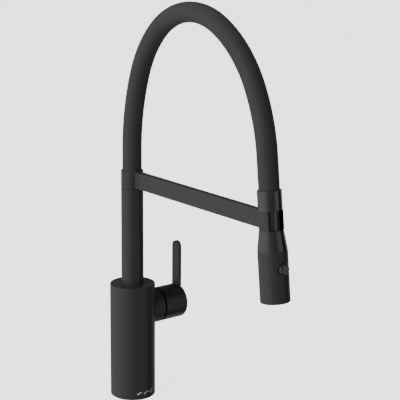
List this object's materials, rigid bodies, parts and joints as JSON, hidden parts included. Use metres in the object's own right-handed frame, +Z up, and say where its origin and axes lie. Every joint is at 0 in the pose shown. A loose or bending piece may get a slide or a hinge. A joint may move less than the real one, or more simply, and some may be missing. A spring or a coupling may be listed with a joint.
{
  "type": "pull down kitchen faucet",
  "caption": "Kitchen mixer tap with a cylinder body, side lever, arched sleeved hose and a pull-down spray handset docked in a swivelling support arm.",
  "frame": {"origin": "centre of the body's foot on the deck plane, on the riser's axis", "axes": "+Z up along the riser, -Y along the support arm towards the handset, +X towards the lever"},
  "size_m": [0.0885, 0.277, 0.4992],
  "materials": {
    "matte_black": "matte black powder coat",
    "satin_black": "satin black",
    "gloss_black": "gloss black",
    "black_silicone": "matte black silicone",
    "black_rubber": "matte rubber",
    "black_plastic": "moulded black",
    "white_plastic": "moulded natural acetal",
    "ceramic": "lapped ceramic",
    "brass": "machined brass",
    "zinc_steel": "zinc plated steel",
    "spring_steel": "spring steel",
    "grey_hose": "reinforced water hose",
    "grey_silicone": "soft dark grey silicone"
  },
  "bodies": {
    "base": {"body_shell": "matte_black", "side_boss": "matte_black", "base_seal": "black_rubber", "valve_block": "brass", "riser_seals": "black_rubber", "fixing_stud": "zinc_steel", "clamp_gasket": "black_rubber", "clamp_washer": "zinc_steel", "clamp_nut": "brass", "cartridge_base": "white_plastic", "ceramic_disc_fixed": "ceramic", "cartridge_housing": "white_plastic", "cartridge_nut": "brass", "nut_cover": "black_plastic", "riser_tube": "matte_black", "swivel_post": "brass", "swivel_washer": "black_plastic", "swivel_seals": "black_rubber", "swivel_clip": "zinc_steel"},
    "cartridge_turret": {"cartridge_carrier": "white_plastic", "stem_pivot_pin": "zinc_steel"},
    "valve_disc": {"ceramic_disc_moving": "ceramic"},
    "handle": {"lever_stem": "zinc_steel", "handle_hub": "satin_black", "lever_blade": "matte_black", "grub_screw": "zinc_steel", "screw_plug": "satin_black"},
    "arm": {"support_arm": "matte_black", "swivel_bush": "white_plastic", "dock_liner": "black_plastic", "lower_ferrule": "brass", "hose_sleeve": "black_silicone", "arch_spring": "spring_steel", "water_hose": "grey_hose"},
    "hose_end": {"upper_ferrule": "brass", "spin_clip": "zinc_steel", "spin_seal": "black_rubber"},
    "handset": {"handset_neck": "gloss_black", "handset_shell": "matte_black", "spray_core": "black_plastic", "check_valve": "white_plastic", "spray_face": "grey_silicone", "aerator": "black_plastic", "outlet_seal": "black_rubber", "button_spring": "spring_steel"},
    "button": {"spray_button": "gloss_black", "diverter_spool": "white_plastic"}
  },
  "joints": [
    {"name": "temperature_turn", "type": "hinge", "parent": "base", "child": "cartridge_turret", "pos_m": [0, 0, 0.0978], "axis": [1, 0, 0], "range_deg": [-45, 45]},
    {"name": "flow_lift", "type": "hinge", "parent": "cartridge_turret", "child": "handle", "pos_m": [0.0155, 0, 0.0978], "axis": [0, 1, 0], "range_deg": [0, 20]},
    {"name": "disc_shift", "type": "slide", "parent": "cartridge_turret", "child": "valve_disc", "axis": [0, 0, 1], "range_m": [0, 0.002]},
    {"name": "arm_swivel", "type": "hinge", "parent": "base", "child": "arm", "pos_m": [0, 0, 0.2381], "axis": [0, 0, 1], "continuous": true},
    {"name": "handset_undock", "type": "slide", "parent": "arm", "child": "hose_end", "axis": [0, -0.9938, 0.1115], "range_m": [0, 0.06], "stiffness_N_per_m": 40, "deforming": ["hose_sleeve", "arch_spring", "water_hose"]},
    {"name": "handset_spin", "type": "hinge", "parent": "hose_end", "child": "handset", "pos_m": [0, -0.2281, 0.2495], "axis": [0, 0.1115, 0.9938], "continuous": true},
    {"name": "button_press", "type": "slide", "parent": "handset", "child": "button", "axis": [0, 0.9938, -0.1115], "range_m": [0, 0.0025], "stiffness_N_per_m": 500, "springref_m": -0.001, "deforming": ["button_spring"]}
  ],
  "couplings": [
    {"joint": "disc_shift", "follows": "flow_lift", "m_per_rad": 0.0055}
  ]
}
